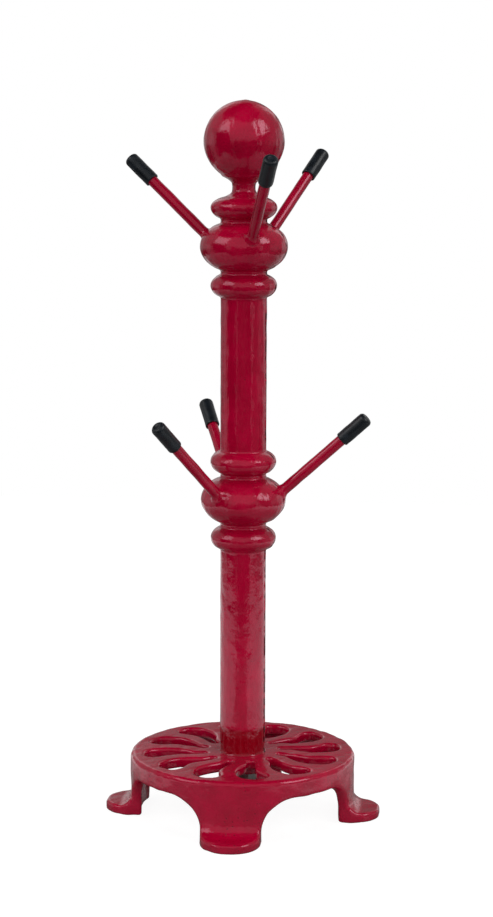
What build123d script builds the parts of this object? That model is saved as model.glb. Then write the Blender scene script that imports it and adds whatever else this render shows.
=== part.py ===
from build123d import *
from math import sqrt
import os

# Mug tree in cast iron: a pierced round base on four legs, a beaded column with a ball on top,
# and two tiers of three sloping rods with end caps.
# Millimetres. The origin is on the floor under the column's axis, +Z is up, and the four feet
# point along +X, +Y, -X and -Y.

# Overall
overall_height = 392.2

# Base plate and skirt
plate_diameter = 124.0
plate_top = 35.0
plate_thickness = 5.8
rim_round = 2.6
skirt_wall = 5.5
skirt_edge_height = 24.3
inside_fillet = 2.0

# Legs and toes
foot_count = 4
leg_width = 32.6
arch_radius = 18.0
toe_reach = 14.5
toe_thickness = 5.2
toe_front_flat = 4.6
toe_lip_round = 2.4
foot_bend_height = 12.2
foot_bend_width = 7.2
sole_round = 1.2
heel_round = 2.5

# S-shaped slots in the plate
slot_count = 12
slot_turn = 13.0
slot_to_rim = 7.5
slot_to_column = 8.0

# Boss under the plate
boss_diameter = 30.0
boss_depth = 10.0

# Column
shaft_diameter = 25.0
ball_diameter = 43.4
neck_diameter = 12.8
neck_fillet = 2.2
neck_height = 7.0
tier_spacing = 137.9

# Beads and the collars above and below them: each is an oval turned about the axis, and the roll is
# half the oval's width. A groove as deep as the shaft parts bead and collar.
bead_diameter = 46.8
bead_height = 27.4
bead_roll = 18.4
collar_diameter = 35.9
collar_height = 13.2
collar_roll = 9.0
groove_width = 2.4
groove_floor = 0.2

# Rods and their holes
# Each rod is a turn about the column and a tilt from upright, in degrees: the holes are drilled by
# hand, so no two rods match exactly.
rods = {
    "upper": [(54.0, 46.0), (162.0, 48.5), (288.0, 47.0)],
    "lower": [(-5.5, 48.0), (114.5, 49.5), (234.5, 48.0)],
}
rod_diameter = 6.0
rod_reach = 91.5
rod_seat = 20.0
rod_drop = 14.0
rod_hole_clearance = 0.05

# End caps
cap_length = 18.5
cap_wall = 1.0
cap_end = 1.6
cap_end_round = 2.0
cap_lip_round = 0.3

# Screw and washer under the boss
screw_diameter = 8.0
screw_core_diameter = 6.6
screw_length = 25.0
screw_pitch = 1.25
screw_groove_width = 1.1
screw_head_flats = 13.0
screw_head_height = 5.3
screw_tip_gap = 3.0
screw_hole_clearance = 0.3
washer_diameter = 16.0
washer_thickness = 1.6
washer_hole_clearance = 0.2

# How far a cutter or a joined bar reaches past the surface that it meets
overlap = 0.5

plate_radius = plate_diameter / 2
shaft_radius = shaft_diameter / 2
bead_centre = bead_diameter / 2 - bead_roll
collar_centre = collar_diameter / 2 - collar_roll
ball_centre = overall_height - ball_diameter / 2
toe_radius = plate_radius + toe_reach
toe_corner = (leg_width - toe_front_flat) / 2
boss_bottom = plate_top - boss_depth
screw_seat = boss_bottom - washer_thickness
screw_tip = screw_seat + screw_length
rod_hole_diameter = rod_diameter + 2 * rod_hole_clearance


def oval_half_height(centre, roll, height):
    """Half the height of a bead's or a collar's oval where it meets the shaft."""
    return height / 2 * sqrt(1 - ((shaft_radius - centre) / roll) ** 2)


bead_edge = oval_half_height(bead_centre, bead_roll, bead_height)
collar_edge = oval_half_height(collar_centre, collar_roll, collar_height)
collar_offset = bead_edge + groove_width + collar_edge
upper_tier = overall_height - ball_diameter - neck_height - collar_height / 2 - collar_offset
tier_heights = {"upper": upper_tier, "lower": upper_tier - tier_spacing}


def base_profile():
    """Half section of the base, from the screw hole out to the tip of a toe."""
    hole = screw_diameter / 2 + screw_hole_clearance
    boss = boss_diameter / 2
    inner = plate_radius - skirt_wall
    underside = plate_top - plate_thickness
    bend_end = plate_radius + foot_bend_width
    bend_middle = (
        bend_end - foot_bend_width * sqrt(0.5),
        foot_bend_height - (foot_bend_height - toe_thickness) * sqrt(0.5),
    )
    inside = Polyline(
        (toe_radius, toe_thickness),
        (toe_radius, 0),
        (inner, 0),
        (inner, underside),
        (boss, underside),
        (boss, boss_bottom),
        (hole, boss_bottom),
        (hole, plate_top),
        (plate_radius, plate_top),
        (plate_radius, foot_bend_height),
    )
    bend = ThreePointArc((plate_radius, foot_bend_height), bend_middle, (bend_end, toe_thickness))
    toe_top = Line((bend_end, toe_thickness), (toe_radius, toe_thickness))
    section = make_face(inside + bend + toe_top)
    rounds = [
        ((plate_radius, plate_top), rim_round),
        ((toe_radius, toe_thickness), toe_lip_round),
        ((toe_radius, 0), sole_round),
        ((inner, 0), heel_round),
        ((inner, underside), inside_fillet),
        ((boss, underside), inside_fillet),
    ]
    for corner, radius in rounds:
        section = fillet(section.vertices().sort_by_distance(corner)[0], radius)
    return section


def arch_cutter():
    """The space between two neighbouring legs, with a large radius under the skirt's edge."""
    side = toe_radius + overlap
    depth = skirt_edge_height + arch_radius
    block = Box(side, side, depth, align=(Align.MIN, Align.MIN, Align.MAX))
    block = Pos(leg_width / 2, leg_width / 2, skirt_edge_height) * block
    top_edges = block.faces().sort_by(Axis.Z)[-1].edges()
    rounded = [top_edges.sort_by(Axis.X)[0], top_edges.sort_by(Axis.Y)[0]]
    return fillet(rounded, arch_radius)


def foot_plan():
    """Plan of the base: the round plate and a tongue with rounded corners for each toe."""
    plan = Circle(plate_radius)
    tongue = Pos(toe_radius / 2, 0) * Rectangle(toe_radius, leg_width)
    tongue = fillet(tongue.vertices().sort_by(Axis.X)[-2:], toe_corner)
    for foot in range(foot_count):
        plan += Rot(0, 0, foot * 360 / foot_count) * tongue
    return plan


def slot_outline():
    """One S-shaped slot. Each point is a share of the way out along the slot, and an angle."""
    inner = shaft_radius + slot_to_column
    span = plate_radius - slot_to_rim - inner
    leading_side = [(0.00, 9.0), (0.10, 9.5), (0.31, 6.0), (0.57, 4.5), (0.81, 8.5), (0.96, 6.5)]
    trailing_side = [(1.00, 1.0), (0.96, -5.0), (0.84, -9.0), (0.63, -11.5), (0.40, -10.0)]
    inner_end = [(0.19, -2.5), (0.015, 1.0)]
    points = []
    for share, angle in leading_side + trailing_side + inner_end:
        points.append(Vector(inner + share * span, 0).rotate(Axis.Z, angle))
    return make_face(Spline(*points, periodic=True))


def base_casting():
    """Pierced plate, skirt, boss, and four legs with toes, cast in one piece."""
    body = revolve(Plane.XZ * base_profile(), Axis.Z)
    for foot in range(foot_count):
        body -= Rot(0, 0, foot * 360 / foot_count) * arch_cutter()
    body &= extrude(foot_plan(), plate_top)
    slot_depth = plate_thickness + inside_fillet + overlap
    slot = Pos(0, 0, plate_top - slot_depth) * extrude(slot_outline(), slot_depth + overlap)
    for number in range(slot_count):
        body -= Rot(0, 0, slot_turn + number * 360 / slot_count) * slot
    return body


def column_profile():
    """Half section of the column: shaft, the beads of both tiers, neck and ball."""
    shaft_top = tier_heights["upper"] + collar_offset
    neck_radius = neck_diameter / 2
    outline = upright(shaft_radius, plate_top, shaft_top)
    for height in tier_heights.values():
        outline += Pos(bead_centre, height) * Ellipse(bead_roll, bead_height / 2)
        for offset in (-collar_offset, collar_offset):
            outline += Pos(collar_centre, height + offset) * Ellipse(collar_roll, collar_height / 2)
    outline += upright(collar_centre, shaft_top, shaft_top + collar_height / 2)
    outline += upright(neck_radius, shaft_top, ball_centre)
    outline += Pos(0, ball_centre) * Circle(ball_diameter / 2)
    outline &= upright(bead_diameter, plate_top, overall_height)
    grooves = [c for c in corners_at(outline, shaft_radius) if c.Y > plate_top + overlap]
    outline = fillet(grooves, (groove_width - groove_floor) / 2)
    return fillet(corners_at(outline, neck_radius), neck_fillet)


def corners_at(outline, radius):
    """The corners of an outline that lie at one distance from the axis."""
    return [corner for corner in outline.vertices() if abs(corner.X - radius) < 0.01]


def upright(radius, bottom, top):
    """A rectangle that stands on the axis, from one height to another."""
    return Pos(0, bottom) * Rectangle(radius, top - bottom, align=(Align.MIN, Align.MIN))


def rod_axis(tier, turn, tilt):
    """Where a rod's axis meets the column's axis, turned so that Z runs out along the rod."""
    return Pos(0, 0, tier_heights[tier] - rod_drop) * Rot(0, 0, turn) * Rot(0, tilt, 0)


def bar(radius, bottom, top):
    """A round bar on the Z axis, from one height to another."""
    standing = (Align.CENTER, Align.CENTER, Align.MIN)
    return Pos(0, 0, bottom) * Cylinder(radius, top - bottom, align=standing)


def column_casting():
    """Shaft, beads and ball in one casting, drilled for the rods and tapped for the screw."""
    body = revolve(Plane.XZ * column_profile(), Axis.Z)
    hole = bar(rod_hole_diameter / 2, rod_seat, rod_reach)
    for tier, angles in rods.items():
        for turn, tilt in angles:
            body -= rod_axis(tier, turn, tilt) * hole
    return body - bar(screw_diameter / 2, plate_top - overlap, screw_tip + screw_tip_gap)


def rod():
    """A straight rod, from the bottom of its hole to the inside of its cap's end."""
    return bar(rod_diameter / 2, rod_seat, rod_reach - cap_end)


def end_cap():
    """A push-on cap with a round end and a slightly rounded lip."""
    outside = bar(rod_diameter / 2 + cap_wall, rod_reach - cap_length, rod_reach)
    outside = fillet(outside.edges().sort_by(Axis.Z)[-1], cap_end_round)
    outside = fillet(outside.edges().sort_by(Axis.Z)[0], cap_lip_round)
    return outside - bar(rod_diameter / 2, 0, rod_reach - cap_end)


def column_screw():
    """Hexagon head screw that enters from below. Ring grooves stand in for its thread."""
    radius = screw_diameter / 2
    hexagon = RegularPolygon(screw_head_flats / 2, 6, major_radius=False)
    head = Pos(0, 0, screw_seat - screw_head_height) * extrude(hexagon, screw_head_height)
    body = head + bar(radius, screw_seat - overlap, screw_tip)
    bottom = (screw_core_diameter / 2, 0)
    edge_above = (radius + overlap, screw_groove_width / 2)
    edge_below = (radius + overlap, -screw_groove_width / 2)
    groove = make_face(Polyline(bottom, edge_above, edge_below, close=True))
    ring = revolve(Plane.XZ * groove, Axis.Z)
    turns = int((screw_tip - plate_top) / screw_pitch)
    for turn in range(turns):
        body -= Pos(0, 0, screw_tip - (turn + 0.5) * screw_pitch) * ring
    return body


def screw_washer():
    """Plain washer between the screw's head and the boss."""
    disc = bar(washer_diameter / 2, screw_seat, boss_bottom)
    return disc - bar(screw_diameter / 2 + washer_hole_clearance, screw_seat, boss_bottom)


def save(shape, name):
    """Write one piece to its own file."""
    export_step(shape, f"parts/{name}.step")


os.makedirs("parts", exist_ok=True)
save(base_casting(), "base_casting")
save(column_casting(), "column_casting")
save(column_screw(), "column_screw")
save(screw_washer(), "screw_washer")
for tier, angles in rods.items():
    for number, (turn, tilt) in enumerate(angles, start=1):
        place = rod_axis(tier, turn, tilt)
        save(place * rod(), f"{tier}_rod_{number}")
        save(place * end_cap(), f"{tier}_cap_{number}")
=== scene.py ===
import bpy
import numpy as np
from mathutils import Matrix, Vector


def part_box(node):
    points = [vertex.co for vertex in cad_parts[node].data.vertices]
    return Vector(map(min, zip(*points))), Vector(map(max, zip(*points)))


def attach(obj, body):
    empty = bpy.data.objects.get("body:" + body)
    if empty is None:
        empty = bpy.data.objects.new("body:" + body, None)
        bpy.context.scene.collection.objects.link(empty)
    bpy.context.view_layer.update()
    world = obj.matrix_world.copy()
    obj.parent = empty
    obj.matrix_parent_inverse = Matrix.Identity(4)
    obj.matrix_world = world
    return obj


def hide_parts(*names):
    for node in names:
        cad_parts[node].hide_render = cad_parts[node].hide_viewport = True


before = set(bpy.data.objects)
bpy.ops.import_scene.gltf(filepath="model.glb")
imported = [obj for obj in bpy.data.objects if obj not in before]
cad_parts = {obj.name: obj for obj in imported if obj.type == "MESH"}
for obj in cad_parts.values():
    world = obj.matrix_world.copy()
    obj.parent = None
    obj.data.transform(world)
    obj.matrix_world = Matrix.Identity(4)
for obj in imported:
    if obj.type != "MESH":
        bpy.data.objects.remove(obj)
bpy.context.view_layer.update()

# Mug tree: a cast column with a ball top on a pierced foot, all in crimson enamel,
# and six sloping rods with black vinyl caps. Shapes are worked out in millimetres
# and written to the meshes in metres.

mm = 0.001


# Sum of plane sine waves with random directions, one wavelength near size, scaled to about -1..1.
def smoothWaves(points, size, seed, count=28):
    rng = np.random.default_rng(seed)
    directions = rng.normal(size=(count, 3))
    directions /= np.linalg.norm(directions, axis=1)[:, None]
    directions *= (2 * np.pi / (size * rng.uniform(0.75, 1.6, count)))[:, None]
    phases = rng.uniform(0, 2 * np.pi, count)
    total = np.zeros(points.shape[:-1])
    for direction, phase in zip(directions, phases):
        total += np.sin(points @ direction + phase)
    return total / np.sqrt(count)


# Where two solids overlap, with the edge between them rounded to a radius.
def roundMax(a, b, radius):
    outside = np.hypot(np.maximum(a + radius, 0), np.maximum(b + radius, 0))
    return np.minimum(np.maximum(a, b), -radius) + outside


# Two solids joined, with the corner between them filled to a radius.
def roundMin(a, b, radius):
    return -roundMax(-a, -b, radius)


# Writes arrays to a mesh, shades it smooth, and puts the piece on the frame.
def meshPiece(name, points, faces, material, replaced):
    mesh = bpy.data.meshes.new(name)
    faces = np.asarray(faces, dtype=np.int32)
    mesh.vertices.add(len(points))
    mesh.vertices.foreach_set("co", np.asarray(points * mm, dtype=np.float32).ravel())
    mesh.loops.add(faces.size)
    mesh.loops.foreach_set("vertex_index", faces.ravel())
    mesh.polygons.add(len(faces))
    mesh.polygons.foreach_set("loop_start", np.arange(0, faces.size, faces.shape[1], dtype=np.int32))
    mesh.polygons.foreach_set("use_smooth", np.ones(len(faces), dtype=bool))
    mesh.update(calc_edges=True)
    mesh.validate()
    mesh.materials.append(material)
    piece = bpy.data.objects.new(name, mesh)
    bpy.context.scene.collection.objects.link(piece)
    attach(piece, "root")
    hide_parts(*replaced)
    print("made", name, len(points), "points", len(faces), "faces")
    return piece


# Faces of a grid that closes round its columns, with a fan to a point at each end. Points come as rows
# x columns, then the first end's point, then the last end's point.
def turnedFaces(rows, columns):
    index = np.arange(rows * columns).reshape(rows, columns)
    nextColumn = np.roll(index, -1, axis=1)
    quads = np.stack([index[:-1], nextColumn[:-1], nextColumn[1:], index[1:]], axis=-1).reshape(-1, 4)
    first, last = rows * columns, rows * columns + 1
    start = np.stack([nextColumn[0], index[0], np.full(columns, first)], axis=-1)
    end = np.stack([index[-1], nextColumn[-1], np.full(columns, last)], axis=-1)
    return quads, start, end


# A grid of points round an axis, closed at both ends.
def turnedPiece(name, points, startPoint, endPoint, material, replaced):
    rows, columns = points.shape[:2]
    quads, start, end = turnedFaces(rows, columns)
    allPoints = np.concatenate([points.reshape(-1, 3), [startPoint], [endPoint]])
    triangles = np.concatenate([quads[:, [0, 1, 2]], quads[:, [0, 2, 3]], start, end])
    return meshPiece(name, allPoints, triangles, material, replaced)


# sRGB hex to linear RGBA.
def linear(hexColour):
    values = [int(hexColour[i:i + 2], 16) / 255 for i in (1, 3, 5)]
    return tuple(v / 12.92 if v <= 0.04045 else ((v + 0.055) / 1.055) ** 2.4 for v in values) + (1.0,)


# settings are written on the node itself, inputs into its sockets
def addNode(tree, kind, settings, inputs):
    node = tree.nodes.new(kind)
    for key, value in settings.items():
        if key == "stops":  # colour ramp: places and colours
            elements = node.color_ramp.elements
            while len(elements) < len(value):
                elements.new(0.5)
            for element, (place, colour) in zip(elements, value):
                element.position, element.color = place, colour
        else:
            setattr(node, key, value)
    for key, value in inputs.items():  # numbers, or other nodes' sockets
        if isinstance(value, bpy.types.NodeSocket):
            tree.links.new(value, node.inputs[key])
        else:
            node.inputs[key].default_value = value
    return node


def newMaterial(name):
    material = bpy.data.materials.new(name)
    material.use_nodes = True
    material.node_tree.nodes.clear()
    return material, material.node_tree


def grey(value):
    return (value, value, value, 1.0)


enamelLook = {
    "deep": "#a00028",      # thick paint
    "bright": "#b40031",    # thin paint over high spots
    "pit": "#4a0614",       # pinholes and sand specks under the paint
    "footShade": "#8c0014",      # painted shade: darker red on the shaft's foot, where the plate shuts out the table's light
    "footShadeTop": 49.5,        # mm above the table, top of the painted shade
    "footShadeEdge": 1.0,        # mm either side of that
    "seamDark": "#23080c",     # near-black marks along the parting line
    "seamDarkHalf": 0.9,       # mm from the line's middle to where the marks fade
    "seamDarkGone": 1.3,       # mm to where it ends
    "seamDarkSize": 3.5,       # mm, length of the dark stretches
    "seamDarkFrom": 0.46, "seamDarkFull": 0.56, "seamDarkCover": 0.85,   # noise where the marks start and are full
    "cloudSize": 14.0,      # mm, slow change in paint thickness
    "thickBelow": 0.35, "thinAbove": 0.68,                      # noise where paint is thick or thin
    "peelSize": 2.4,        # mm, orange peel
    "grainSize": 0.9,       # mm, sand grain that shows through
    "streakSize": 2.6,      # mm across; ten times that along
    "streakStretch": 0.1,
    "pitSize": 2.6,         # mm between cells that may hold a pit
    "pitCore": 0.07, "pitRim": 0.16,    # share of a cell
    "patchSize": 20.0,      # mm between patches of pits
    "patchEdge": 0.06,
    "roughness": 0.12,
    "smoothest": 0.8, "roughest": 1.5,  # times the roughness, low and high on the peel
    "ior": 1.5,
    "sheen": "#ffd4e6",     # paint's own tint in its highlights
    "sheenLevel": 0.75,
}


# Glossy stoving enamel, dipped and sprayed over sand-cast iron: it gives a wet shine with a soft orange
# peel, pinholes where gas came through, slow changes in depth of colour and near-black broken marks along
# the parting line; the column's copy also carries painted shade, darker red on the shaft's foot.
def makeEnamel(name, peelDepth, grainDepth, streakDepth, pitDepth, pitShare, seamTurn=None):
    look = enamelLook
    material, tree = newMaterial(name)
    place = addNode(tree, "ShaderNodeTexCoord", {}, {}).outputs["Object"]
    drawn = addNode(tree, "ShaderNodeMapping", {},
                    {"Vector": place, "Scale": (1, 1, look["streakStretch"])})
    noises = {}
    for part, detail in (("cloud", 3.0), ("peel", 2.0), ("grain", 2.0), ("streak", 2.0), ("patch", 2.0),
                         ("seamDark", 3.0)):
        vector = drawn.outputs["Vector"] if part == "streak" else place
        inputs = {"Vector": vector, "Scale": 1 / (look[part + "Size"] * mm), "Detail": detail,
                  "Roughness": 0.55}
        noises[part] = addNode(tree, "ShaderNodeTexNoise", {}, inputs).outputs["Fac"]
    # a pit shows near the middle of a cell, and only where the patch noise is high
    cells = addNode(tree, "ShaderNodeTexVoronoi", {},
                    {"Vector": place, "Scale": 1 / (look["pitSize"] * mm)})
    stops = [(0.0, grey(1)), (look["pitCore"], grey(1)), (look["pitRim"], grey(0))]
    nearPit = addNode(tree, "ShaderNodeValToRGB", {"stops": stops}, {"Fac": cells.outputs["Distance"]})
    stops = [(0.0, grey(0)), (1 - pitShare, grey(0)), (1 + look["patchEdge"] - pitShare, grey(1))]
    patch = addNode(tree, "ShaderNodeValToRGB", {"stops": stops}, {"Fac": noises["patch"]})
    pit = addNode(tree, "ShaderNodeMath", {"operation": "MULTIPLY"},
                  {0: nearPit.outputs["Color"], 1: patch.outputs["Color"]}).outputs[0]
    stops = [(look["thickBelow"], linear(look["deep"])), (look["thinAbove"], linear(look["bright"]))]
    clouds = addNode(tree, "ShaderNodeValToRGB", {"stops": stops}, {"Fac": noises["cloud"]})
    colour = clouds.outputs["Color"]
    tints = [(pit, look["pit"])]
    if seamTurn is not None:
        # the column's copy gets painted shade: darker red on the shaft's foot, below a height
        height = addNode(tree, "ShaderNodeSeparateXYZ", {}, {"Vector": place}).outputs["Z"]
        footShaded = addNode(tree, "ShaderNodeMapRange", {},
                         {"Value": height, "From Min": (look["footShadeTop"] - look["footShadeEdge"]) * mm,
                          "From Max": (look["footShadeTop"] + look["footShadeEdge"]) * mm,
                          "To Min": 1.0, "To Max": 0.0})
        tints.append((footShaded.outputs["Result"], look["footShade"]))
    for share, tint in tints:  # sockets 6 and 7 are the mix node's colours, outlet 2 its mixed colour
        mixed = addNode(tree, "ShaderNodeMix", {"data_type": "RGBA"},
                        {"Factor": share, 6: colour, 7: linear(tint)})
        colour = mixed.outputs[2]
    stops = [(0.3, grey(look["roughness"] * look["smoothest"])),
             (0.75, grey(look["roughness"] * look["roughest"]))]
    rough = addNode(tree, "ShaderNodeValToRGB", {"stops": stops}, {"Fac": noises["peel"]}).outputs["Color"]
    layers = [(noises["peel"], peelDepth, False), (noises["streak"], streakDepth, False),
              (noises["grain"], grainDepth, False), (pit, pitDepth, True)]
    normal = {}
    for height, depth, sunk in layers:
        if depth:
            bump = addNode(tree, "ShaderNodeBump", {"invert": sunk},
                           {"Distance": depth * mm, "Height": height, **normal})
            normal = {"Normal": bump.outputs["Normal"]}
    shader = addNode(tree, "ShaderNodeBsdfPrincipled", {},
                     {"Base Color": colour, "IOR": look["ior"], "Roughness": rough,
                      "Specular Tint": linear(look["sheen"]), "Specular IOR Level": look["sheenLevel"],
                      **normal})
    skin = shader.outputs["BSDF"]
    if seamTurn is not None:
        # near-black marks lie close to the upright plane through both parting lines, in broken stretches
        seam = np.radians(seamTurn)
        away = addNode(tree, "ShaderNodeVectorMath", {"operation": "DOT_PRODUCT"},
                       {0: place, 1: (-np.sin(seam), np.cos(seam), 0)}).outputs["Value"]
        away = addNode(tree, "ShaderNodeMath", {"operation": "ABSOLUTE"}, {0: away}).outputs[0]
        line = addNode(tree, "ShaderNodeMapRange", {},
                       {"Value": away, "From Min": look["seamDarkHalf"] * mm,
                        "From Max": look["seamDarkGone"] * mm, "To Min": 1.0, "To Max": 0.0})
        stops = [(look["seamDarkFrom"], grey(0)), (look["seamDarkFull"], grey(look["seamDarkCover"]))]
        broken = addNode(tree, "ShaderNodeValToRGB", {"stops": stops}, {"Fac": noises["seamDark"]})
        seamDarkShare = addNode(tree, "ShaderNodeMath", {"operation": "MULTIPLY"},
                        {0: line.outputs["Result"], 1: broken.outputs["Color"]}).outputs[0]
        seamDarkShader = addNode(tree, "ShaderNodeBsdfDiffuse", {}, {"Color": linear(look["seamDark"])})
        covered = addNode(tree, "ShaderNodeMixShader", {}, {0: seamDarkShare, 1: skin, 2: seamDarkShader.outputs["BSDF"]})
        skin = covered.outputs["Shader"]
    addNode(tree, "ShaderNodeOutputMaterial", {}, {"Surface": skin})
    return material


vinylLook = {
    "black": "#0b0f14", "dust": "#1b232b",
    "dustSize": 5.0,        # mm
    "grainSize": 0.5,       # mm
    "grainDepth": 0.012,    # mm
    "roughness": 0.36,
    "ior": 1.5,
}
zincLook = {
    "bright": "#c9cac6", "dull": "#8f918e",
    "cloudSize": 4.0,       # mm
    "scratchSize": 0.6,     # mm
    "scratchDepth": 0.01,   # mm
    "roughness": 0.3,
}


# A noise that shifts between two colours and two roughnesses, with a fine grain on top
def makeMottled(name, dark, pale, cloudSize, grainSize, grainDepth, roughness, fixed):
    material, tree = newMaterial(name)
    place = addNode(tree, "ShaderNodeTexCoord", {}, {}).outputs["Object"]
    cloud = addNode(tree, "ShaderNodeTexNoise", {}, {"Vector": place, "Scale": 1 / (cloudSize * mm),
                                                     "Detail": 5.0, "Roughness": 0.65}).outputs["Fac"]
    grain = addNode(tree, "ShaderNodeTexNoise", {}, {"Vector": place, "Scale": 1 / (grainSize * mm)})
    stops = [(0.38, linear(dark)), (0.75, linear(pale))]
    colour = addNode(tree, "ShaderNodeValToRGB", {"stops": stops}, {"Fac": cloud}).outputs["Color"]
    stops = [(0.3, grey(roughness * 0.85)), (0.75, grey(roughness * 1.25))]
    rough = addNode(tree, "ShaderNodeValToRGB", {"stops": stops}, {"Fac": cloud}).outputs["Color"]
    bump = addNode(tree, "ShaderNodeBump", {},
                   {"Distance": grainDepth * mm, "Height": grain.outputs["Fac"]})
    shader = addNode(tree, "ShaderNodeBsdfPrincipled", {},
                     {"Base Color": colour, "Roughness": rough, "Normal": bump.outputs["Normal"], **fixed})
    addNode(tree, "ShaderNodeOutputMaterial", {}, {"Surface": shader.outputs["BSDF"]})
    return material


# thick on the foot, which shows the most sand; brushed out along the column; thin on the rods
footEnamel = makeEnamel("crimsonEnamelOnFoot", peelDepth=0.18, grainDepth=0.02, streakDepth=0,
                        pitDepth=0.10, pitShare=0.47)
columnEnamel = makeEnamel("crimsonEnamelOnColumn", peelDepth=0.15, grainDepth=0.012, streakDepth=0.20,
                          pitDepth=0.06, pitShare=0.40, seamTurn=-11.0)
rodEnamel = makeEnamel("crimsonEnamelOnRod", peelDepth=0.02, grainDepth=0.004, streakDepth=0,
                       pitDepth=0.03, pitShare=0.40)
# dip-moulded soft PVC: near black, satin, with a faint grain and a little dust
blackVinyl = makeMottled("blackVinyl", vinylLook["black"], vinylLook["dust"], vinylLook["dustSize"],
                         vinylLook["grainSize"], vinylLook["grainDepth"], vinylLook["roughness"],
                         {"IOR": vinylLook["ior"]})
# bright zinc plate on a rolled steel screw: grey metal, cloudy where it has dulled
zincPlate = makeMottled("zincPlate", zincLook["dull"], zincLook["bright"], zincLook["cloudSize"],
                        zincLook["scratchSize"], zincLook["scratchDepth"], zincLook["roughness"],
                        {"Metallic": 1.0})
print("materials made")


foot = {
    "plateRadius": 62.0, "plateTop": 35.0, "plateThickness": 5.8, "rimRound": 2.6,
    "skirtWall": 5.5, "skirtEdge": 24.3, "archRadius": 18.0,
    "toeRadius": 76.35, "toeThickness": 5.2, "toeCorner": 14.0, "legHalf": 16.3, "bend": 7.0,
    "edgeRound": 1.7, "soleRound": 1.2, "heelRound": 2.0,
    "toeOverrun": 4.0,          # past the toes' plan, so that the plan alone ends them
    "hollowRound": 2.0, "bossRadius": 15.0, "bossBottom": 25.0, "bossRound": 1.2, "bossFillet": 2.0,
    "holeRadius": 4.3, "holeRound": 0.4,
    "slotTurn": 13.0, "slotInner": 20.5, "slotOuter": 54.5, "slotRound": 1.7,
    "unevenness": 0.13, "unevenSize": 9.0, "gridStep": 0.8,
}
# each point is a share of the way out along the slot, and an angle in degrees
slotPoints = [(0.00, 9.0), (0.10, 9.5), (0.31, 6.0), (0.57, 4.5), (0.81, 8.5), (0.96, 6.5), (1.00, 1.0),
              (0.96, -5.0), (0.84, -9.0), (0.63, -11.5), (0.40, -10.0), (0.19, -2.5), (0.015, 1.0)]


# A closed curve through the slot's points: between two points, a cubic whose slope at each point is
# half the step from the point before to the point after.
def slotOutline(samples=8):
    share, angle = np.array(slotPoints).T
    reach = foot["slotInner"] + share * (foot["slotOuter"] - foot["slotInner"])
    points = np.stack([reach * np.cos(np.radians(angle)), reach * np.sin(np.radians(angle))], axis=-1)
    before, after, beyond = np.roll(points, 1, 0), np.roll(points, -1, 0), np.roll(points, -2, 0)
    t = (np.arange(samples) / samples)[None, :, None]
    p0, p1, p2, p3 = before[:, None], points[:, None], after[:, None], beyond[:, None]
    curve = 0.5 * (2 * p1 + (p2 - p0) * t + (2 * p0 - 5 * p1 + 4 * p2 - p3) * t ** 2
                   + (3 * p1 - p0 - 3 * p2 + p3) * t ** 3)
    return curve.reshape(-1, 2)


# Distance to the nearest slot's edge on a flat grid, less than nothing inside a slot.
def slotTable(half=66.0, step=0.4):
    outline = slotOutline()
    ends = np.roll(outline, -1, 0)
    along = ends - outline
    line = np.arange(-half, half + step, step)
    x, y = np.meshgrid(line, line, indexing="ij")
    turn = np.radians(foot["slotTurn"])
    sector = np.radians(30.0)
    angle = np.mod(np.arctan2(y, x) - turn + sector / 2, sector) - sector / 2
    reach = np.hypot(x, y)
    u, v = reach * np.cos(angle), reach * np.sin(angle)
    nearest = np.full(u.shape, 1e9)
    crossings = np.zeros(u.shape, dtype=bool)
    for start, end, leg in zip(outline, ends, along):
        share = np.clip(((u - start[0]) * leg[0] + (v - start[1]) * leg[1]) / (leg @ leg), 0, 1)
        away = np.hypot(u - start[0] - share * leg[0], v - start[1] - share * leg[1])
        nearest = np.minimum(nearest, away)
        spans = (start[1] > v) != (end[1] > v)
        left = u < start[0] + (v - start[1]) * leg[0] / (leg[1] if leg[1] else 1e-9)
        crossings ^= spans & left
    return np.where(crossings, -nearest, nearest), half, step


slotGrid, slotHalf, slotStep = slotTable()


# Looks up the slot table between its grid points, in straight proportion both ways.
def slotDistance(x, y):
    i = np.clip((x + slotHalf) / slotStep, 0, slotGrid.shape[0] - 1.001)
    j = np.clip((y + slotHalf) / slotStep, 0, slotGrid.shape[1] - 1.001)
    i0, j0 = i.astype(int), j.astype(int)
    fi, fj = i - i0, j - j0
    low = slotGrid[i0, j0] * (1 - fi) + slotGrid[i0 + 1, j0] * fi
    high = slotGrid[i0, j0 + 1] * (1 - fi) + slotGrid[i0 + 1, j0 + 1] * fi
    return low * (1 - fj) + high * fj


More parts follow.
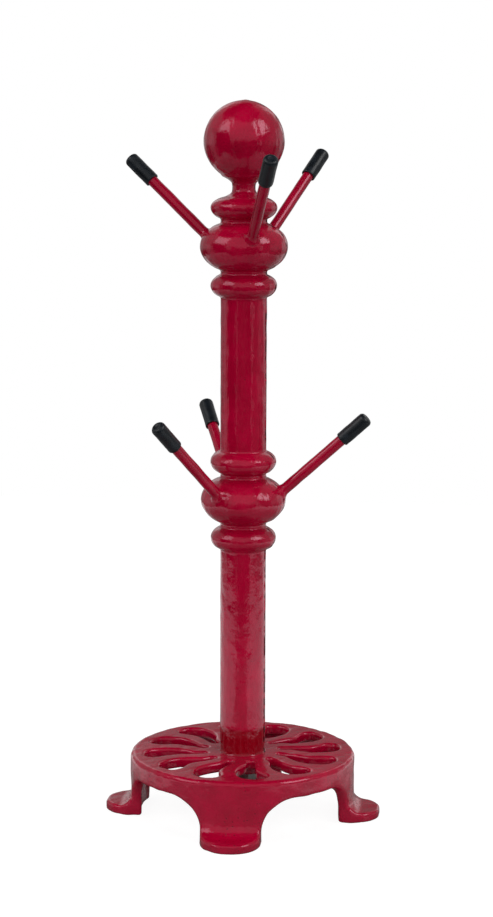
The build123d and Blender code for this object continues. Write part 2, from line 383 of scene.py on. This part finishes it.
# Distance to the foot's skin, less than nothing inside the iron. The section through a leg is turned
# about the axis, the arches and the toes' plan cut it, and the hollow, boss and slots cut that.
def footField(points):
    x, y, z = points[..., 0], points[..., 1], points[..., 2]
    r = np.hypot(x, y)
    nearLeg, alongLeg = np.minimum(np.abs(x), np.abs(y)), np.maximum(np.abs(x), np.abs(y))
    drum = roundMax(r - foot["plateRadius"], z - foot["plateTop"], foot["rimRound"])
    toes = np.maximum(r - foot["toeRadius"] - foot["toeOverrun"], z - foot["toeThickness"])
    section = roundMin(drum, toes, foot["bend"])
    below = z - foot["skirtEdge"]
    archSide = roundMax(foot["legHalf"] - nearLeg, below, foot["archRadius"])
    archAcross = roundMax(foot["legHalf"] - alongLeg, below, foot["archRadius"])
    arch = np.maximum(archSide, archAcross)
    sides = roundMax(-arch, r - foot["toeRadius"], foot["toeCorner"])
    solid = roundMax(section, sides, foot["edgeRound"])
    solid = roundMax(solid, -z, foot["soleRound"])
    underside = foot["plateTop"] - foot["plateThickness"]
    hollow = roundMax(r - foot["plateRadius"] + foot["skirtWall"], z - underside, foot["hollowRound"])
    boss = roundMax(r - foot["bossRadius"], foot["bossBottom"] - z, foot["bossRound"])
    hollow = roundMax(hollow, -boss, foot["bossFillet"])
    solid = roundMax(solid, -hollow, foot["heelRound"])
    solid = roundMax(solid, -slotDistance(x, y), foot["slotRound"])
    solid = roundMax(solid, foot["holeRadius"] - r, foot["holeRound"])
    return solid + foot["unevenness"] * smoothWaves(points, foot["unevenSize"], 11)


# Puts one point in each grid cell that the skin crosses, at the middle of its crossings, joins the
# points round each crossed grid edge, and slides every point down the slope onto the skin.
def skinOfField(field, low, high, step):
    lines = [np.arange(a, b + step, step) for a, b in zip(low, high)]
    grid = np.stack(np.meshgrid(*lines, indexing="ij"), axis=-1)
    values = field(grid)
    inside = values < 0
    cells = tuple(n - 1 for n in values.shape)
    total = np.zeros(cells + (3,))
    count = np.zeros(cells)
    quads = []
    for axis in range(3):
        first = [slice(None)] * 3
        second = [slice(None)] * 3
        first[axis], second[axis] = slice(0, -1), slice(1, None)
        a, b = values[tuple(first)], values[tuple(second)]
        crossed = inside[tuple(first)] != inside[tuple(second)]
        share = np.where(crossed, a / np.where(crossed, a - b, 1), 0)
        places = grid[tuple(first)].copy()
        places[..., axis] += share * step
        u, v = [k for k in range(3) if k != axis]
        for du in (0, 1):
            for dv in (0, 1):
                pick = [slice(None)] * 3
                pick[u] = slice(du, du + cells[u])
                pick[v] = slice(dv, dv + cells[v])
                hit = crossed[tuple(pick)]
                total += np.where(hit[..., None], places[tuple(pick)], 0)
                count += hit
    active = count > 0
    number = np.full(cells, -1)
    number[active] = np.arange(active.sum())
    points = total[active] / count[active][:, None]
    for axis in range(3):
        first = [slice(1, -1)] * 3
        second = [slice(1, -1)] * 3
        first[axis], second[axis] = slice(0, -1), slice(1, None)
        a, b = inside[tuple(first)], inside[tuple(second)]
        i, j, k = np.nonzero(a != b)
        where = np.stack([i, j, k], axis=-1) + 1
        where[:, axis] -= 1
        u, v = (axis + 1) % 3, (axis + 2) % 3
        corners = []
        for du, dv in ((-1, -1), (0, -1), (0, 0), (-1, 0)):
            cell = where.copy()
            cell[:, u] += du
            cell[:, v] += dv
            corners.append(number[cell[:, 0], cell[:, 1], cell[:, 2]])
        quad = np.stack(corners, axis=-1)
        outward = a[i, j, k]
        quads.append(np.where(outward[:, None], quad, quad[:, ::-1]))
    quads = np.concatenate(quads)
    nudge, sweeps, gentlest = 0.02, 3, 0.2
    for sweep in range(sweeps):
        here = field(points)
        beside = [field(points + nudge * np.eye(3)[k]) for k in range(3)]
        slope = (np.stack(beside, axis=-1) - here[:, None]) / nudge
        lengthSquared = np.maximum((slope ** 2).sum(-1), gentlest)
        points = points - np.clip(here, -step, step)[:, None] * slope / lengthSquared[:, None]
    return points, quads


def buildFoot():
    margin = 1.5
    reach = foot["toeRadius"] + margin
    points, quads = skinOfField(footField, (-reach, -reach, -margin),
                                (reach, reach, foot["plateTop"] + margin), foot["gridStep"])
    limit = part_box("base_casting")
    points = np.clip(points, np.array(limit[0]) / mm, np.array(limit[1]) / mm)
    return meshPiece("pierced_foot", points, quads, footEnamel, ["base_casting"])


buildFoot()


column = {
    "shaftRadius": 12.5, "foot": 34.4, "plateTop": 35.0, "paintFillet": 0.7,
    "ballCentre": 370.35, "ballRadius": 21.6, "neckRadius": 6.1,
    "coneRise": 2.9, "coneHeight": 4.4, "coneGrowth": 5.4, "crownHalf": 6.1, "crownRoll": 12.0,
    "flareDrop": 1.95, "flareHeight": 5.0, "flareGrowth": 6.0,
    "beadHeights": (314.22, 176.32), "beadRoll": 18.4, "beadRadius": (23.75, 23.1), "beadHalf": 13.7,
    "collarRoll": 9.0, "collarRadius": 17.95, "collarHalf": 6.6, "collarOffset": 21.0,
    "softening": 0.55, "poleReach": 3.0, "poleFade": 6.0,
    "rowGap": 1.05, "bendLimit": 0.6, "bendReach": 12, "bendShare": 1.6,    # rows crowd where it bends
    "columns": 150, "seamColumns": 15, "seamCrowd": 4.2,                    # and columns by the seams
    "unevenness": 0.10, "unevenSize": 10.0, "shaftShare": 0.35, "shaftFade": 1.5,
    "ripple": 0.05, "rippleSize": 3.6, "rippleStretch": 0.55,
    "seamTurns": (-11.0, 169.0), "seamHeight": 0.5, "seamWidth": 0.42,
    "raggedSize": 7.0, "raggedMean": 0.45, "raggedSwing": 0.75,
    "nubHeight": 0.3, "nubRadius": 1.6, "nubOffset": (0.9, -0.5),
}


# Radius of an oval turned about the axis, nothing where the oval isn't.
def oval(z, centreHeight, half, roll, outer):
    inside = 1 - ((z - centreHeight) / half) ** 2
    return np.where(inside > 0, outer - roll + roll * np.sqrt(np.maximum(inside, 0)), 0)


# The widest of shaft, beads, collars, neck and ball at a height.
def columnRadius(z):
    c = column
    top = c["beadHeights"][0] + c["collarOffset"]
    radius = np.where(z <= top, c["shaftRadius"], 0)
    for height, beadRadius in zip(c["beadHeights"], c["beadRadius"]):
        radius = np.maximum(radius, oval(z, height, c["beadHalf"], c["beadRoll"], beadRadius))
        for offset in (-c["collarOffset"], c["collarOffset"]):
            # the top collar falls away faster on its upper side
            crown = (z > top) & (height + offset == top)
            half = np.where(crown, c["crownHalf"], c["collarHalf"])
            roll = np.where(crown, c["crownRoll"], c["collarRoll"])
            radius = np.maximum(radius, oval(z, height + offset, half, roll, c["collarRadius"]))
    # iron flares from the top collar up to the neck, and again from the neck out to the ball
    flare = np.clip((top + c["collarHalf"] + c["coneRise"] - z) / c["coneHeight"], 0, 1)
    onNeck = (z > top) & (z < c["ballCentre"])
    radius = np.maximum(radius, np.where(onNeck, c["neckRadius"] + c["coneGrowth"] * flare ** 2, 0))
    flare = np.clip((z - c["ballCentre"] + c["ballRadius"] + c["flareDrop"]) / c["flareHeight"], 0, 1)
    radius = np.maximum(radius, np.where(onNeck, c["neckRadius"] + c["flareGrowth"] * flare ** 2, 0))
    ball = np.sqrt(np.maximum(c["ballRadius"] ** 2 - (z - c["ballCentre"]) ** 2, 0))
    radius = np.maximum(radius, ball)
    rise = z - c["plateTop"]
    return radius + c["paintFillet"] * np.clip(1 - rise / c["paintFillet"], 0, 1) ** 2


# Weighted mean along a line, with weights that fall off as a bell.
def softened(values, width):
    reach = int(np.ceil(3 * width))
    weights = np.exp(-0.5 * (np.arange(-reach, reach + 1) / width) ** 2)
    padded = np.concatenate([np.full(reach, values[0]), values, np.full(reach, values[-1])])
    return np.convolve(padded, weights / weights.sum(), mode="valid")


# Half section as points evenly spaced along the outline, with paint-softened corners.
def columnProfile():
    z = np.arange(column["foot"], column["ballCentre"] + column["ballRadius"], 0.01)
    radius = columnRadius(z)
    radius = np.append(radius, 0.0)
    z = np.append(z, column["ballCentre"] + column["ballRadius"])
    walked = np.concatenate([[0], np.cumsum(np.hypot(np.diff(radius), np.diff(z)))])
    fineStep = 0.1
    spots = np.arange(0, walked[-1], fineStep)
    radius, z = np.interp(spots, walked, radius), np.interp(spots, walked, z)
    soft = softened(radius, column["softening"] / fineStep)
    softZ = softened(z, column["softening"] / fineStep)
    # the pole keeps its own points, because softening would pull the ball's top in
    near = np.clip((walked[-1] - spots) / column["poleReach"], 0, 1)
    radius = soft * near + radius * (1 - near)
    z = softZ * near + z * (1 - near)
    # rows stand closer where the outline bends
    bend = np.abs(np.gradient(np.unwrap(np.arctan2(np.gradient(radius), np.gradient(z)))))
    crowding = softened(np.minimum(bend / fineStep, column["bendLimit"]), column["bendReach"])
    density = 1 / column["rowGap"] + crowding * column["bendShare"]
    walkedRows = np.cumsum(density * fineStep)
    rows = np.interp(np.arange(0, walkedRows[-1], 1.0), walkedRows, np.arange(len(spots)))
    return np.interp(rows, np.arange(len(spots)), radius), np.interp(rows, np.arange(len(spots)), z)


# The half section carried round the axis. Radius grows by slow waves, fine ripples and the two mould
# seams, and the nub adds height near the pole.
def buildColumn():
    c = column
    radius, z = columnProfile()
    # columns of points crowd together beside the seams
    even = np.linspace(0, 360, c["columns"], endpoint=False)
    beside = [turn + c["seamCrowd"] * np.linspace(-1, 1, c["seamColumns"]) for turn in c["seamTurns"]]
    apart = np.min([np.abs((even - turn + 180) % 360 - 180) for turn in c["seamTurns"]], axis=0)
    angle = np.radians(np.sort(np.concatenate([even[apart > c["seamCrowd"] + 1]] + beside) % 360))
    cosines, sines = np.cos(angle), np.sin(angle)
    points = np.stack([radius[:, None] * cosines, radius[:, None] * sines,
                       np.repeat(z[:, None], len(angle), axis=1)], axis=-1)
    stretched = points * (1, 1, c["rippleStretch"])
    onShaft = np.exp(-(np.maximum(radius - c["shaftRadius"], 0) / c["shaftFade"]) ** 2)[:, None]
    calm = 1 - (1 - c["shaftShare"]) * onShaft
    swell = c["unevenness"] * calm * smoothWaves(points, c["unevenSize"], 5)
    swell = swell + c["ripple"] * smoothWaves(stretched, c["rippleSize"], 6)
    for number, turn in enumerate(c["seamTurns"]):
        away = np.degrees(np.angle(np.exp(1j * (angle - np.radians(turn)))))[None, :]
        arc = np.radians(away) * radius[:, None]
        waves = smoothWaves(points, c["raggedSize"], 21 + number)
        ragged = np.clip(c["raggedMean"] + c["raggedSwing"] * waves, 0, 1)
        swell = swell + c["seamHeight"] * ragged * np.exp(-(arc / c["seamWidth"]) ** 2)
    fade = np.clip(radius / c["poleFade"], 0, 1)[:, None]  # nothing at the pole
    grown = 1 + swell * fade / np.maximum(radius, c["poleReach"])[:, None]
    points[..., 0] *= grown
    points[..., 1] *= grown
    fromNub = np.hypot(points[..., 0] - c["nubOffset"][0], points[..., 1] - c["nubOffset"][1])
    onTop = points[..., 2] > c["ballCentre"]
    points[..., 2] += onTop * c["nubHeight"] * np.exp(-(fromNub / c["nubRadius"]) ** 2)
    poleLift = c["nubHeight"] * np.exp(-(np.hypot(*c["nubOffset"]) / c["nubRadius"]) ** 2)
    top = (0, 0, c["ballCentre"] + c["ballRadius"] + poleLift)
    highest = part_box("column_casting")[1][2] / mm
    points[..., 2] = np.minimum(points[..., 2], highest)
    return turnedPiece("beaded_column", points, (0, 0, c["foot"]), top, columnEnamel,
                       ["column_casting"])


buildColumn()


rods = {
    "upper": [(54.0, 46.0), (162.0, 48.5), (288.0, 47.0)],
    "lower": [(-5.5, 48.0), (114.5, 49.5), (234.5, 48.0)],
}
rodShape = {
    "radius": 3.0, "start": 21.0, "end": 89.6, "drop": 14.0, "paintFillet": 1.25, "filletReach": 3.0,
    "filletPower": 2.2, "filletLimit": 1.15, "sag": 0.05, "sagSize": 9.0, "columns": 48, "rowStep": 0.6,
}
capShape = {
    "reach": 91.4, "length": 18.5, "outer": 4.0, "endRound": 2.0, "bore": 3.06,
    "boreDepth": 6.0, "dish": 0.35, "rowStep": 0.7, "poleRadius": 0.3,
    "unevenness": 0.05, "unevenSize": 7.0, "slack": 0.6, "columns": 64,
}


# Where a rod's axis leaves the column's axis, and two directions across it and one along it.
def rodFrame(tier, turn, tilt):
    height = column["beadHeights"][0 if tier == "upper" else 1] - rodShape["drop"]
    turn, tilt = np.radians(turn), np.radians(tilt)
    along = np.array([np.cos(turn) * np.sin(tilt), np.sin(turn) * np.sin(tilt), np.cos(tilt)])
    side = np.array([-np.sin(turn), np.cos(turn), 0.0])
    return np.array([0.0, 0.0, height]), side, np.cross(along, side), along


# A profile of radius and distance carried round the rod's axis.
def placed(radius, walked, tier, turn, tilt):
    base, side, lift, along = rodFrame(tier, turn, tilt)
    columns = radius.shape[1]
    angle = np.linspace(0, 2 * np.pi, columns, endpoint=False)
    across = np.cos(angle)[:, None] * side + np.sin(angle)[:, None] * lift
    return base + walked[..., None] * along + radius[..., None] * across[None]


# Rough distance from the bead's skin, from how far outside its oval a point lies.
def beadGap(points, tier):
    c = column
    height = c["beadHeights"][0 if tier == "upper" else 1]
    middle = c["beadRadius"][0 if tier == "upper" else 1] - c["beadRoll"]
    out = np.hypot(points[..., 0], points[..., 1]) - middle
    up = points[..., 2] - height
    scaled = np.hypot(out / c["beadRoll"], up / c["beadHalf"])
    slope = np.hypot(out / c["beadRoll"] ** 2, up / c["beadHalf"] ** 2) / np.maximum(scaled, 1e-6)
    return (scaled - 1) / np.maximum(slope, 1e-6)


# A round bar. Close to the bead its radius grows as a power of the nearness, where paint pooled.
def buildRod(name, tier, turn, tilt, seed):
    s = rodShape
    walked = np.arange(s["start"], s["end"], s["rowStep"])
    walked = np.repeat(walked[:, None], s["columns"], axis=1)
    radius = np.full(walked.shape, s["radius"])
    points = placed(radius, walked, tier, turn, tilt)
    near = np.clip(1 - beadGap(points, tier) / s["filletReach"], 0, s["filletLimit"])
    radius = radius + s["paintFillet"] * near ** s["filletPower"]
    radius = radius + s["sag"] * smoothWaves(points, s["sagSize"], seed)
    points = placed(radius, walked, tier, turn, tilt)
    base, side, lift, along = rodFrame(tier, turn, tilt)
    turnedPiece(name, points, base + along * s["start"], base + along * (s["end"] - s["rowStep"] * 0.5),
                rodEnamel, [f"{tier}_rod_{name[-1]}"])


# Outline of a cap's half section from the bottom of its bore, round the lip, up the side and over the
# rounded end to the middle of its dished top.
def capProfile():
    s = capShape
    lip = s["reach"] - s["length"]
    wallMiddle = (s["bore"] + s["outer"]) / 2
    t = np.linspace(0, 1, 9)[1:-1]
    bore = [(s["bore"], lip + s["boreDepth"] * (1 - k)) for k in np.linspace(0, 0.9, 8)]
    half = (s["outer"] - s["bore"]) / 2
    rounded = [(wallMiddle - half * np.cos(np.pi * k), lip + half - half * np.sin(np.pi * k)) for k in t]
    wallRows = np.arange(lip + half + 0.2, s["reach"] - s["endRound"], s["rowStep"])
    walls = [(s["outer"], z) for z in wallRows]
    k = np.linspace(0, 1, 10)
    shoulder = np.stack([s["outer"] - s["endRound"] * (1 - np.cos(k * np.pi / 2)),
                         s["reach"] - s["endRound"] * (1 - np.sin(k * np.pi / 2))], axis=-1)
    inner = s["outer"] - s["endRound"]
    r = np.linspace(inner, s["poleRadius"], 6)[1:]
    top = np.stack([r, s["reach"] - s["dish"] * (1 - (r / inner) ** 2)], axis=-1)
    return np.concatenate([bore, rounded, walls, shoulder, top])


# The cap's outline carried round the rod's axis, slightly out of round and uneven as soft vinyl is.
def buildCap(name, tier, turn, tilt, seed):
    s = capShape
    profile = capProfile()
    radius = np.repeat(profile[:, 0][:, None], s["columns"], axis=1)
    walked = np.repeat(profile[:, 1][:, None], s["columns"], axis=1)
    points = placed(radius, walked, tier, turn, tilt)
    outside = np.clip((radius - s["bore"]) / 0.3, 0, 1)
    radius = radius + s["unevenness"] * outside * (smoothWaves(points, s["unevenSize"], seed) - s["slack"])
    points = placed(radius, walked, tier, turn, tilt)
    base, side, lift, along = rodFrame(tier, turn, tilt)
    startPoint = base + along * profile[0, 1]
    endPoint = base + along * (s["reach"] - s["dish"])
    turnedPiece(name, points, startPoint, endPoint, blackVinyl, [f"{tier}_cap_{name[-1]}"])


for tier, angles in rods.items():
    for number, (turn, tilt) in enumerate(angles, start=1):
        seed = number + (40 if tier == "upper" else 60)
        buildRod(f"{tier}_painted_rod_{number}", tier, turn, tilt, seed)
        buildCap(f"{tier}_vinyl_cap_{number}", tier, turn, tilt, seed + 10)


for nodeName in ("column_screw", "screw_washer"):
    node = bpy.data.objects[nodeName]
    node.data.materials.clear()
    node.data.materials.append(zincPlate)
print("screw and washer finished")


studio = {
    "floorHalfWidth": 0.60, "floorFront": -0.40, "floorBack": 1.0,  # metres
    "floorGlow": 0.92, "floorPaint": 0.2,                           # as the eye sees it
    "bouncePaint": 0.30, "bounceRoughness": 0.25,                   # as the object sees it
    "sheen": 0.7, "sheenStart": 0.09, "sheenFull": 0.17,            # painted sheen: a glow out to the sides, metres
    "sheenLow": 0.35, "sheenHigh": 0.78,                            # that shows at low angles only
    "room": 0.008,
}
# soft lights that reflections don't show, in metres: place, point aimed at, width, height, radiance
lights = {
    "topLight": ((0.1, -0.2, 1.9), (0, 0, 0.2), 1.2, 1.2, 2.3),
    "frontFill": ((0.2, -2.2, 0.7), (0, 0, 0.2), 1.6, 1.2, 1.45),
    "lowFill": ((0.1, -0.8, 0.05), (0, 0, 0.3), 1.4, 0.3, 1.0),
}
# soft panels round the object: degrees round from the front, degrees up, half sizes, soft edge, radiance
panels = {
    "frontCloth": (2, 31, 42, 24, 5, 0.40),
    "leftLamp": (-60, 37, 17, 13, 6, 2.1),
    "rightLamp": (68, 36, 13, 11, 6, 3.6),
    "leftWall": (-126, 18, 36, 20, 14, 0.36),
    "leftLowCard": (-97, -14, 10, 20, 10, 0.24),
    "leftStand": (-31, 0, 3, 8, 4, 0.3),
    "rightStand": (50, -2, 1.5, 8, 2.5, 0.8),
    "rightApron": (82, -8, 23, 18, 2, 0.12),
    "leftBackLamp": (-157, 22, 3, 10, 8, 0.4),
    "rightWall": (126, 25, 36, 26, 14, 0.27),
    "rightLowCard": (133, -3, 8, 12, 10, 0.36),
    "rightBackLamp": (160, 20, 3, 16, 8, 0.5),
    "backdropLeft": (-171, 10, 9, 26, 10, 0.2),
    "backdropRight": (171, 10, 9, 26, 10, 0.2),
}


# A white sheet. The eye sees it bright and almost even; the object sees a satin table top, dimmer than
# the panels round it, with painted sheen: a glow out to the sides that shows at low angles.
def buildFloor():
    s = studio
    material, tree = newMaterial("palePaper")
    paper = addNode(tree, "ShaderNodeBsdfPrincipled", {},
                    {"Base Color": grey(s["floorPaint"]), "Roughness": 0.9, "Specular IOR Level": 0.0,
                     "Emission Color": grey(1.0), "Emission Strength": s["floorGlow"]})
    place = addNode(tree, "ShaderNodeTexCoord", {}, {}).outputs["Object"]
    across = addNode(tree, "ShaderNodeSeparateXYZ", {}, {"Vector": place}).outputs["X"]
    outward = addNode(tree, "ShaderNodeMath", {"operation": "ABSOLUTE"}, {0: across}).outputs[0]
    side = addNode(tree, "ShaderNodeMapRange", {"interpolation_type": "SMOOTHSTEP"},
                   {"Value": outward, "From Min": s["sheenStart"], "From Max": s["sheenFull"]})
    # painted sheen: for the object's rays the floor glows toward the sides and at low angles
    facing = addNode(tree, "ShaderNodeLayerWeight", {}, {"Blend": 0.5}).outputs["Facing"]
    low = addNode(tree, "ShaderNodeMapRange", {"interpolation_type": "SMOOTHSTEP"},
                  {"Value": facing, "From Min": s["sheenLow"], "From Max": s["sheenHigh"],
                   "To Max": s["sheen"]})
    sheen = addNode(tree, "ShaderNodeMath", {"operation": "MULTIPLY"},
                    {0: side.outputs["Result"], 1: low.outputs["Result"]}).outputs[0]
    bounce = addNode(tree, "ShaderNodeBsdfPrincipled", {},
                     {"Base Color": grey(s["bouncePaint"]), "Roughness": s["bounceRoughness"],
                      "Emission Color": grey(1.0), "Emission Strength": sheen})
    eye = addNode(tree, "ShaderNodeLightPath", {}, {})
    pick = addNode(tree, "ShaderNodeMixShader", {},
                   {0: eye.outputs["Is Camera Ray"], 1: bounce.outputs["BSDF"], 2: paper.outputs["BSDF"]})
    addNode(tree, "ShaderNodeOutputMaterial", {}, {"Surface": pick.outputs["Shader"]})
    w, front, back = s["floorHalfWidth"], s["floorFront"], s["floorBack"]
    mesh = bpy.data.meshes.new("floor")
    mesh.from_pydata([(-w, front, 0), (w, front, 0), (w, back, 0), (-w, back, 0)], [], [(0, 1, 2, 3)])
    mesh.materials.append(material)
    floor = bpy.data.objects.new("floor", mesh)
    bpy.context.scene.collection.objects.link(floor)


# A soft light that reflections don't show: its power is its radiance times its area times pi
def areaLight(name, place, target, width, height, radiance):
    data = bpy.data.lights.new(name, "AREA")
    data.shape = "RECTANGLE"
    data.size, data.size_y = width, height
    data.energy = radiance * width * height * np.pi
    light = bpy.data.objects.new(name, data)
    light.location = place
    light.rotation_euler = (Vector(target) - Vector(place)).to_track_quat("-Z", "Y").to_euler()
    light.visible_glossy = False
    light.visible_camera = False
    bpy.context.scene.collection.objects.link(light)


# White for the eye. For the object, a dim room and the soft panels: each is its radiance times a smooth
# step down past its half width and a smooth step down past its half height.
def buildWorld():
    world = bpy.data.worlds.new("studio")
    bpy.context.scene.world = world
    world.use_nodes = True
    tree = world.node_tree
    tree.nodes.clear()

    direction = addNode(tree, "ShaderNodeTexCoord", {}, {}).outputs["Generated"]
    parts = addNode(tree, "ShaderNodeSeparateXYZ", {}, {"Vector": direction}).outputs
    backward = addNode(tree, "ShaderNodeMath", {"operation": "MULTIPLY"}, {0: parts["Y"], 1: -1.0})
    azimuth = addNode(tree, "ShaderNodeMath", {"operation": "ARCTAN2"},
                      {0: parts["X"], 1: backward.outputs[0]}).outputs[0]
    elevation = addNode(tree, "ShaderNodeMath", {"operation": "ARCSINE"}, {0: parts["Z"]}).outputs[0]
    total = studio["room"]
    for across, up, halfWidth, halfHeight, soft, radiance in panels.values():
        share = radiance
        for value, middle, half in ((azimuth, across, halfWidth), (elevation, up, halfHeight)):
            offset = addNode(tree, "ShaderNodeMath", {"operation": "SUBTRACT"},
                             {0: value, 1: np.radians(middle)})
            away = addNode(tree, "ShaderNodeMath", {"operation": "ABSOLUTE"}, {0: offset.outputs[0]})
            step = addNode(tree, "ShaderNodeMapRange", {"interpolation_type": "SMOOTHSTEP"},
                           {"Value": away.outputs[0], "From Min": np.radians(half),
                            "From Max": np.radians(half + soft), "To Min": 1.0, "To Max": 0.0})
            share = addNode(tree, "ShaderNodeMath", {"operation": "MULTIPLY"},
                            {0: step.outputs["Result"], 1: share}).outputs[0]
        total = addNode(tree, "ShaderNodeMath", {"operation": "ADD"}, {0: share, 1: total}).outputs[0]
    eye = addNode(tree, "ShaderNodeLightPath", {}, {})
    strength = addNode(tree, "ShaderNodeMix", {}, {0: eye.outputs["Is Camera Ray"], 2: total, 3: 1.0})
    background = addNode(tree, "ShaderNodeBackground", {},
                         {"Color": grey(1.0), "Strength": strength.outputs[0]})
    addNode(tree, "ShaderNodeOutputWorld", {}, {"Surface": background.outputs["Background"]})


buildFloor()
buildWorld()
for name, values in lights.items():
    areaLight(name, *values)

cameraSetup = {"place": (0.1305, -1.2047, 0.3868), "target": (0.0017, 0.0002, 0.1990), "lens": 88.33,
               "roll": 0.17}
cameraData = bpy.data.cameras.new("camera")
cameraData.sensor_fit = "AUTO"
cameraData.sensor_width = 36.0
cameraData.lens = cameraSetup["lens"]
camera = bpy.data.objects.new("camera", cameraData)
bpy.context.scene.collection.objects.link(camera)
look = (Vector(cameraSetup["target"]) - Vector(cameraSetup["place"])).to_track_quat("-Z", "Y")
camera.location = cameraSetup["place"]
camera.rotation_euler = look.to_euler()
camera.rotation_euler.rotate_axis("Z", np.radians(cameraSetup["roll"]))
bpy.context.scene.camera = camera
bpy.context.scene.view_settings.view_transform = "Standard"
print("stage set")
